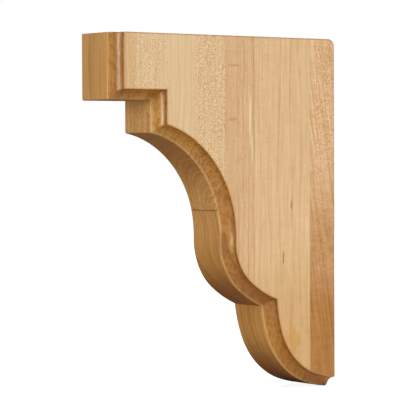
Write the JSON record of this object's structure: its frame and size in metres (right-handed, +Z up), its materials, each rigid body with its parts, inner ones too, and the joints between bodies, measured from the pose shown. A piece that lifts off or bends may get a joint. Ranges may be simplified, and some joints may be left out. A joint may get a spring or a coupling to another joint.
{
  "type": "wooden corbel bracket",
  "caption": "Wooden corbel bracket with a stepped head, a hollow arch and a double-lobed foot, coved along its edges and flat where it meets the wall and carries a shelf.",
  "frame": {"origin": "centre of the flat wall face", "axes": "+Y is the outward normal of the wall face, into the wall; the head block points along -Y; +Z is up, along the height; X runs across the thickness"},
  "size_m": [0.064, 0.255, 0.33],
  "materials": {
    "front_board": "clear satin varnish on straw-coloured maple with ray fleck",
    "middle_board": "clear satin varnish on pinkish maple with fine growth lines",
    "back_board": "clear satin varnish on tan to reddish-brown maple"
  },
  "bodies": {
    "root": {"front_board": "front_board", "middle_board": "middle_board", "back_board": "back_board"}
  },
  "joints": []
}
